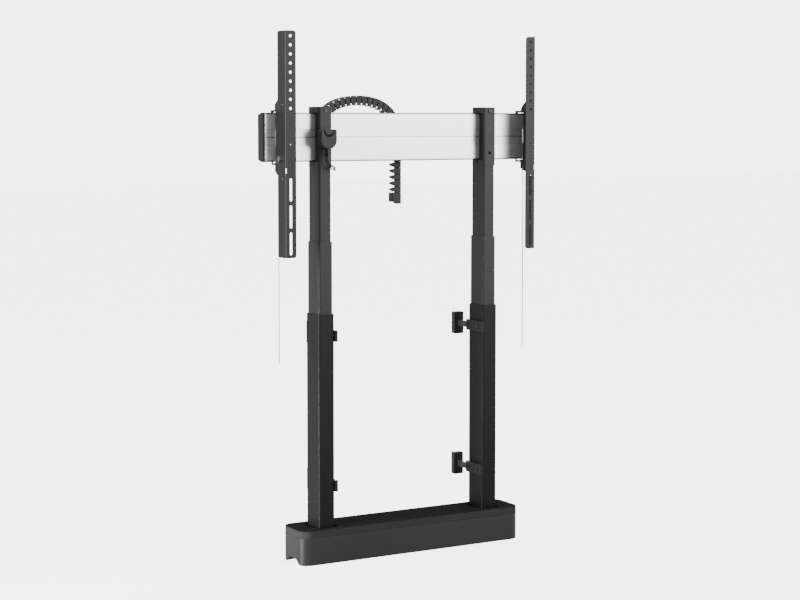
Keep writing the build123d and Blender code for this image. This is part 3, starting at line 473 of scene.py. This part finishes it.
def cast_housing():
    """Cast metal with a sandy skin."""
    look = Look("cast_metal", 0.4)
    skin = look.noise(520, 5, rough=0.7)
    patch = look.noise(34, 3)
    look.colour(look.mix(0.2 + 0.6 * patch, grey(0.22), grey(0.38, 0.01)))
    look.metal(0.70 + 0.2 * patch)
    look.rough(0.52 + 0.18 * (skin - 0.5))
    look.raised(skin, 0.00030, 0.8)
    return look


def motor_can():
    """Rolled steel can: laminations along its middle stretch and a dark cap at its inner end."""
    look = Look("motor_can")
    along = abs(look.x)
    cap = along.below(MOTOR_CAP, 0.0006)
    bands = abs((along * LAMINATIONS_PER_METRE).fract() - 0.5).below(0.3, 0.15)
    laminated = along.above(LAMINATED_FROM, 0.0005) * along.below(LAMINATED_TO, 0.0005)
    rolled = look.noise(1, 3, look.stretched(1900, 260, 260))
    steel = look.mix(0.35 * rolled + 0.4 * bands * laminated, grey(0.46), grey(0.10))
    look.colour(look.mix(cap, steel, grey(0.02)))
    look.metal((1 - cap) * 0.92)
    look.rough(0.34 + 0.12 * (rolled - 0.5) + 0.16 * cap)
    look.raised(bands * laminated, 0.0004, 0.8)
    look.raised(rolled, 0.00004, 0.5)
    return look


def vented_box():
    """Black drive box with a field of vent slots in its top and a joint line round it."""
    look = moulded_plastic("vented_box", tone=0.013, gloss=0.50)
    slots = abs((look.x * VENTS_PER_METRE).fract() - 0.5).below(0.17, 0.05)
    field = abs(look.x).below(VENT_FIELD_X, 0.001) * abs(look.y).below(VENT_FIELD_Y, 0.001)
    rows = abs(abs(look.y) - VENT_ROW_Y).below(VENT_ROW_HALF, 0.0008)
    seam = abs(look.z - BOX_SEAM_Z).below(0.0004, 0.0003)
    look.raised(1 - slots * field * rows, 0.0014)
    look.raised(1 - seam, 0.0007, 0.9)
    return look


def inlet_face():
    """Black inlet with plated pins inside its mouth."""
    look = Look("inlet_face", 0.25)
    columns = abs(abs(look.y - PIN_Y) - PIN_SPACING_HALF).below(PIN_RADIUS, 0.0002)
    pins = columns * abs(look.z - PIN_Z).below(PIN_RADIUS, 0.0002)
    body = look.mix(look.noise(600, 2), grey(0.008), grey(0.018))
    look.colour(look.mix(pins, body, (0.62, 0.50, 0.26, 1)))
    look.metal(pins)
    spark_grain(look, 0.34)
    return look


def braided_cord():
    """Fine braid: two sets of slanting strands that pass over and under."""
    look = Look("cord_braid", 0.3)
    turn = (look.y - CORD_Y).angle_from(abs(look.x) - CORD_X) / (2 * pi)
    one = abs((look.z / BRAID_PITCH + turn * BRAID_STRANDS).fract() - 0.5) * 2
    two = abs((look.z / BRAID_PITCH - turn * BRAID_STRANDS).fract() - 0.5) * 2
    weave = one * two
    fuzz = look.noise(2600, 3)
    shade = (0.35 + 0.5 * weave + 0.3 * (fuzz - 0.5)).held()
    look.colour(look.mix(shade, grey(0.0495), grey(0.132)))
    look.rough(0.78 - 0.12 * weave)
    look.raised(weave, 0.00028, 0.9)
    return look


def sliding_glide():
    """Glide plastic, polished in streaks where it slides."""
    look = Look("sliding_glide", 0.2)
    flow = look.noise(55, 3)
    rub = look.noise(1, 3, look.stretched(500, 500, 14))
    look.colour(look.mix(0.3 * flow + 0.4 * rub, grey(0.012), grey(0.040)))
    look.rough(0.34 + 0.24 * (rub - 0.5))
    look.raised(rub, 0.00006, 0.5)
    return look


def wall_arm_coat():
    """Coated flat bar; the pad at its end has a moulded block and a rubber face to the wall."""
    look = Look("wall_arm_look", 0.32)
    grain = look.noise(1300, 3)
    cloud = look.noise(18, 3)
    pad = look.y.above(PAD_START, 0.0004)
    face = look.y.above(PAD_FACE, 0.0003)
    metal = look.mix(0.4 + 0.3 * grain, grey(0.010), grey(0.034))
    block = look.mix(0.3 + 0.4 * cloud, grey(0.005), grey(0.013))
    look.colour(look.mix(face, look.mix(pad, metal, block), grey(0.010)))
    look.rough(0.44 + 0.12 * (grain - 0.5) + 0.08 * pad + 0.22 * face)
    ribs = abs((look.z * 220).fract() - 0.5).above(0.24, 0.12)
    look.raised(ribs * face, 0.0006, 0.8)
    look.raised(grain, 0.00010, 0.6)
    look.raised(abs(look.y - PAD_JOINT).above(0.0004, 0.0003), 0.0004, 0.8)
    return look


def chain_links(name):
    """Moulded links: matt grey-black, faint flow marks, painted shade nearly black behind the front
    plates.
    """
    look = Look(name, 0.12)
    flow = look.noise(120, 3)
    body = look.mix(0.3 + 0.4 * flow, grey(0.018), grey(0.034))
    # Painted shade: nearly black behind the front plates
    dark = look.y.above(CHAIN_SHADE_FRONT, 0.0006) * look.y.below(CHAIN_SHADE_BACK, 0.0006)
    look.colour(look.mix(dark, body, grey(0.0006)))
    look.rough(0.50 + 0.18 * (flow - 0.5))
    look.raised(look.cells(1500), 0.00014, 0.6)
    return look


def pod_coat(name, tone):
    """Matt coat; the round pocket is painted shade, black but for the painted light on its disc's
    upper part.
    """
    look = Look(name, 0.20)
    across = look.x - POCKET_X
    away = (across * across + (look.z - POCKET_Z).power(2)).power(0.5)
    lit = (across * across + (look.z - DISC_Z).power(2)).power(0.5).below(DISC_RADIUS, 0.0010)
    # Painted shade in the pocket, left off the upper part of the disc as painted light
    shade = away.below(POCKET_RADIUS, 0.0004) * look.y.below(POD_FRONT, 0.0010) * (1 - lit)
    body = look.mix(0.3 + 0.4 * look.noise(1400, 3), grey(0.7 * tone), grey(1.3 * tone))
    look.colour(look.mix(shade, body, grey(0.0006)))
    look.rough(0.55 + 0.3 * shade)
    coat_relief(look, look.noise(1500, 3))
    return look


def strip_fold_highlight(look):
    """1 along the round fold of a mounting strip, where a highlight is painted."""
    return abs(abs(look.x) - FOLD_X).below(FOLD_WIDTH, 0.0006) * look.y.below(FOLD_Y, 0.0006)


# Looks of single nodes
glide = sliding_glide()
braid = braided_cord()
LOOKS = {
    # Painted shade: the base cover is darker towards the floor
    "base_cover": powder_coat(
        "shell_cover", tone=0.0125, floor_shade=(0.80, 0.0, 0.08), gloss=0.32, lines=False, sheen=0.34,
    ),
    # Painted shade darkens the lid's top
    "base_lid": powder_coat(
        "lid_coat", tone=0.026, gloss=0.56, lines=False, sheen=0.0, painted_top_shade=True,
    ),
    "base_plate": powder_coat("plate_coat", tone=0.030, gloss=0.55, lines=False),
    "base_feet": rubber("foot_rubber", tone=0.014, ribbed=True),
    "control_box": vented_box(),
    "power_inlet": inlet_face(),
    "motor_leads": lead_sheath("motor_lead", tone=0.012),
    "housing_bolts": bright_metal("housing_bolt", tone=0.50),
    "lift_nuts": bright_metal("bronze_nut", tone=0.42, gloss=0.34, warmth=0.30),
    "outer_glides": glide,
    "inner_glides": glide,
    "clamp_blocks": moulded_plastic("block_plastic", tone=0.006, gloss=0.55),
    "head_screws": bright_metal("head_screw", tone=0.035, gloss=0.36),
    "crossbar": brushed_bar(),
    "crossbar_caps": moulded_plastic("cap_plastic", tone=0.014, gloss=0.50),
    "sensor_pod": pod_coat("pod_coat", tone=0.021),
    "sensor_window": pod_coat("window_coat", tone=0.024),
    "sensor_leads": lead_sheath("sensor_lead", tone=0.0015),
    "cable_chain": chain_links("chain_look"),
    "chain_end": chain_links("chain_end_look"),
    "chain_bracket": powder_coat("chain_bracket_coat", tone=0.022, lines=False),
    "bracket_screws": bright_metal("bracket_screw", tone=0.05, gloss=0.34),
}

# Looks of nodes that come in pairs, left and right
PAIRED = {
    # Painted shade: the tubes are darker towards the floor
    "outer_tube": powder_coat("outer_coat", tone=0.0070, floor_shade=(0.50, 0.10, 0.72), sheen=0.14),
    "middle_tube": powder_coat("middle_coat", tone=0.021, floor_shade=(0.80, 0.60, 1.00)),
    "inner_tube": powder_coat("inner_coat", tone=0.020, floor_shade=(0.90, 0.85, 1.15)),
    "middle_glides": glide,
    "gear_housing": cast_housing(),
    "motor": motor_can(),
    "head_bracket": powder_coat("head_coat", tone=0.019),
    # Painted highlight on the fold, and painted shade towards the floor
    "strip": powder_coat(
        "strip_coat", tone=0.014, floor_shade=(0.9, 0.85, 1.3), gloss=0.44, painted_highlight=strip_fold_highlight,
    ),
    "tab_pad": rubber("tab_rubber", tone=0.18),
    "top_hook": powder_coat("hook_coat", tone=0.008, lines=False),
    "strip_screws": bright_metal("knob_metal", tone=0.30, gloss=0.34),
    "latch_housing": moulded_plastic("latch_plastic", tone=0.008, gloss=0.46),
    "latch_bolt": bright_metal("latch_metal", tone=0.07, gloss=0.36),
    "pull_cord": braid,
}

# Looks of the four wall brackets
BRACKETS = {
    "wall_sleeve": powder_coat("sleeve_coat", tone=0.007, lines=False),
    "wall_arm": wall_arm_coat(),
}
for side_name, side in SIDES:
    LOOKS[f"spindle_{side_name}"] = spindle_thread(side_name, side)
    for node_name, look in PAIRED.items():
        LOOKS[f"{node_name}_{side_name}"] = look
    for level in LEVELS:
        for node_name, look in BRACKETS.items():
            LOOKS[f"{node_name}_{side_name}_{level}"] = look

for name, node in NODES.items():
    for slot in node.material_slots:
        slot.material = LOOKS[name].material
for cord in cords:
    cord.data.materials.append(braid.material)


# Clamp screws
def ring_mesh(name, rings):
    """A turned piece along +Z: one ring of points for each radius, height and number of corners."""
    points = []
    faces = []
    for radius, height, corners in rings:
        for step in range(RING_STEPS):
            angle = 2 * pi * step / RING_STEPS
            reach = radius
            if corners:
                part = 2 * pi / corners
                reach = radius * cos(part / 2) / cos(angle % part - part / 2)
            points.append((reach * cos(angle), reach * sin(angle), height))
    for ring in range(len(rings) - 1):
        for step in range(RING_STEPS):
            one = ring * RING_STEPS + step
            two = ring * RING_STEPS + (step + 1) % RING_STEPS
            faces.append((one, two, two + RING_STEPS, one + RING_STEPS))
    last = (len(rings) - 1) * RING_STEPS
    faces.append(tuple(range(last, last + RING_STEPS)))
    faces.append(tuple(reversed(range(RING_STEPS))))
    mesh = bpy.data.meshes.new(name)
    mesh.from_pydata(points, [], faces)
    return mesh


def repeat_tree():
    """Sets a template at every point, turned as the point's attribute says and then at random."""
    tree = bpy.data.node_groups.new("repeat", "GeometryNodeTree")
    face = tree.interface
    face.new_socket("Geometry", in_out="INPUT", socket_type="NodeSocketGeometry")
    face.new_socket("Template", in_out="INPUT", socket_type="NodeSocketObject")
    face.new_socket("Finish", in_out="INPUT", socket_type="NodeSocketMaterial")
    face.new_socket("Turn spread", in_out="INPUT", socket_type="NodeSocketFloat")
    face.new_socket("Geometry", in_out="OUTPUT", socket_type="NodeSocketGeometry")

    def made(kind, settings, sockets, output=0):
        return add_node(tree, kind, settings, sockets).outputs[output]

    given = add_node(tree, "NodeGroupInput").outputs
    spread = given["Turn spread"]
    least = made("ShaderNodeMath", {"operation": "MULTIPLY"}, {0: spread, 1: -1})
    limits = {2: least, 3: spread, "Seed": SCREW_SEED}
    chance = made("FunctionNodeRandomValue", {"data_type": "FLOAT"}, limits, 1)
    spin = made("FunctionNodeAxisAngleToRotation", {}, {"Angle": chance})
    vector = {"data_type": "FLOAT_VECTOR"}
    attribute = made("GeometryNodeInputNamedAttribute", vector, {"Name": "turn"})
    own_turn = made("FunctionNodeEulerToRotation", {}, {0: attribute})
    turns = {"Rotation": own_turn, "Rotate By": spin}
    turn = made("FunctionNodeRotateRotation", {"rotation_space": "LOCAL"}, turns)
    source = {"Object": given["Template"], "As Instance": True}
    template = made("GeometryNodeObjectInfo", {}, source, "Geometry")
    fields = {"Points": given["Geometry"], "Instance": template, "Rotation": turn}
    placed = made("GeometryNodeInstanceOnPoints", {}, fields)
    real = made("GeometryNodeRealizeInstances", {}, {0: placed})
    finish = {"Geometry": real, "Material": given["Finish"]}
    finished = made("GeometryNodeSetMaterial", {}, finish)
    add_node(tree, "NodeGroupOutput", {}, {0: finished})
    return tree


def repeated(name, mesh, places, look, spread):
    """One mesh of the template at each place: a point and its turn."""
    template = bpy.data.objects.new(f"{name}_template", mesh)
    points = bpy.data.meshes.new(f"{name}_points")
    points.from_pydata([point for point, _ in places], [], [])
    turns = points.attributes.new("turn", "FLOAT_VECTOR", "POINT")
    turns.data.foreach_set("vector", [part for _, turn in places for part in turn])
    carrier = bpy.data.objects.new(f"{name}_carrier", points)
    scene.collection.objects.link(template)
    scene.collection.objects.link(carrier)
    tree = repeat_tree()
    modifier = carrier.modifiers.new("repeat", "NODES")
    modifier.node_group = tree
    inputs = {
        item.name: item.identifier for item in tree.interface.items_tree if item.in_out == "INPUT"
    }
    modifier[inputs["Template"]] = template
    modifier[inputs["Finish"]] = look.material
    modifier[inputs["Turn spread"]] = spread
    graph = bpy.context.evaluated_depsgraph_get()
    whole = bpy.data.meshes.new_from_object(carrier.evaluated_get(graph), depsgraph=graph)
    carrier.modifiers.remove(modifier)
    whole.materials.clear()
    whole.materials.append(look.material)
    bpy.data.objects.remove(carrier)
    bpy.data.objects.remove(template)
    piece = bpy.data.objects.new(name, whole)
    scene.collection.objects.link(piece)
    return piece


screw_places = [
    ((side * SCREW_X, SCREW_Y, height), (0, -side * pi / 2, 0))
    for _, side in SIDES
    for height in SCREW_LEVELS
]
screws = repeated(
    "clamp_screws", ring_mesh("clamp_screw", SCREW_RINGS), screw_places,
    LOOKS["bracket_screws"], SCREW_SPREAD,
)
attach(screws, "base")
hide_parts("bracket_screws")


# Floor and light
def floor_paper():
    """Pale paper with a glow that takes it close to the tone of the surround."""
    look = Look("floor_paper", 0.0)
    fibre = look.noise(90, 4)
    look.colour(look.mix(fibre, grey(0.26), grey(0.30)))
    look.rough(0.9 + 0.1 * fibre)
    look.feed("Emission Color", WHITE)
    look.feed("Emission Strength", FLOOR_GLOW)
    return look


corners = ((-1, -1), (1, -1), (1, 1), (-1, 1))
floor_points = [(FLOOR_REACH * x, FLOOR_REACH * y, 0) for x, y in corners]
floor_mesh = bpy.data.meshes.new("floor")
floor_mesh.from_pydata(floor_points, [], [(0, 1, 2, 3)])
floor_mesh.materials.append(floor_paper().material)
floor = bpy.data.objects.new("floor", floor_mesh)
scene.collection.objects.link(floor)
# The glow is for the camera: no surface of the object is lit by the floor or mirrors it
floor.visible_diffuse = False
floor.visible_glossy = False

for light_name, light_place, light_size, power, spread, target in LIGHTS:
    lamp = bpy.data.objects.new(light_name, bpy.data.lights.new(light_name, "AREA"))
    lamp.data.shape = "RECTANGLE"
    lamp.data.size, lamp.data.size_y = light_size
    lamp.data.energy = power
    lamp.data.spread = radians(spread)
    lamp.location = light_place
    aim = Vector(target) - Vector(light_place)
    lamp.rotation_euler = aim.to_track_quat("-Z", "Y").to_euler()
    scene.collection.objects.link(lamp)

# White surround: full for the camera, softer as light
world = bpy.data.worlds.new("studio")
scene.world = world
world.use_nodes = True
sky = world.node_tree
seen = add_node(sky, "ShaderNodeLightPath").outputs["Is Camera Ray"]
levels = {"Value": seen, "To Min": SURROUND_LIGHT, "To Max": SURROUND_SEEN}
strength = add_node(sky, "ShaderNodeMapRange", {}, levels).outputs[0]
background = sky.nodes["Background"]
feed(sky, background.inputs["Color"], WHITE)
feed(sky, background.inputs["Strength"], strength)
